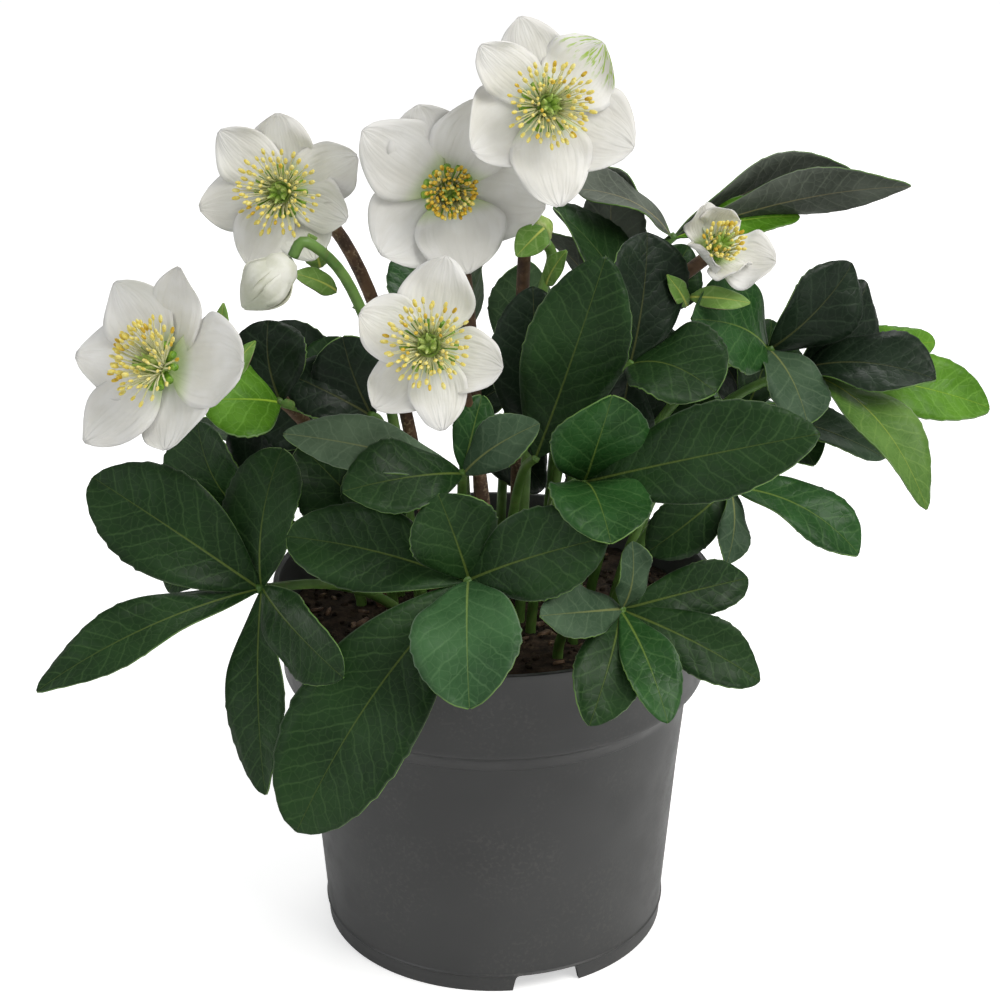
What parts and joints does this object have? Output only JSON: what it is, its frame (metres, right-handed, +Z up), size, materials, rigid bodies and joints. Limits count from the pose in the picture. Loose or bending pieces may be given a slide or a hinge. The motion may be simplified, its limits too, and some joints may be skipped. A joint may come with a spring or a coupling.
{
  "type": "hellebore plant",
  "caption": "White hellebore in flower in a round grey nursery pot: open flowers and buds over a dense mass of dark divided leaves that spill past the rim.",
  "frame": {"origin": "the middle of the pot's foot, on the surface that it stands on", "axes": "+Z up along the pot's axis, -Y the front, where the flowers look, +X to the right seen from the front"},
  "size_m": [0.3497, 0.2708, 0.3667],
  "materials": {
    "pot": "satin dark grey moulded plastic",
    "soil": "dark crumbly potting compost",
    "leaf": "leathery dark green leaf with paler veins",
    "stalk": "smooth green stalk",
    "woody_stalk": "speckled red-brown flower stalk",
    "sepal": "soft white petal",
    "heart": "fresh green flower centre",
    "stamen": "cream threads with yellow tips"
  },
  "bodies": {
    "root": {"pot": "pot", "soil": "soil", "leaf_front_left": "leaf", "leaf_front_middle": "leaf", "leaf_front_right": "leaf", "leaf_middle_right": "leaf", "leaf_tall": "leaf", "leaf_heart_right": "leaf", "leaf_heart_back": "leaf", "leaf_top": "leaf", "leaf_right_upper": "leaf", "leaf_right_outer": "leaf", "leaf_right_low": "leaf", "leaf_left_high": "leaf", "leaf_left_back": "leaf", "leaf_left_inner": "leaf", "leaf_middle_left": "leaf", "leaf_back_left": "leaf", "leaf_back_middle": "leaf", "leaf_back_right": "leaf", "leaf_crown_back": "leaf", "leaf_centre_right": "leaf", "leaf_right_under": "leaf", "leaf_left_crown": "leaf", "leaf_left_under": "leaf", "leaf_upper_back": "leaf", "bloom_left_sepals": "sepal", "bloom_left_heart": "heart", "bloom_left_stamens": "stamen", "bloom_left_stalk": "woody_stalk", "bloom_upper_left_sepals": "sepal", "bloom_upper_left_heart": "heart", "bloom_upper_left_stamens": "stamen", "bloom_upper_left_stalk": "woody_stalk", "bloom_upper_middle_sepals": "sepal", "bloom_upper_middle_heart": "heart", "bloom_upper_middle_stamens": "stamen", "bloom_upper_middle_stalk": "woody_stalk", "bloom_top_sepals": "sepal", "bloom_top_heart": "heart", "bloom_top_stamens": "stamen", "bloom_top_stalk": "woody_stalk", "bloom_front_sepals": "sepal", "bloom_front_heart": "heart", "bloom_front_stamens": "stamen", "bloom_front_stalk": "woody_stalk", "bloom_small_sepals": "sepal", "bloom_small_heart": "heart", "bloom_small_stamens": "stamen", "bloom_small_stalk": "woody_stalk", "bud_white": "sepal", "bud_white_stalk": "stalk", "bud_green": "heart", "bud_green_stalk": "stalk"}
  },
  "joints": []
}
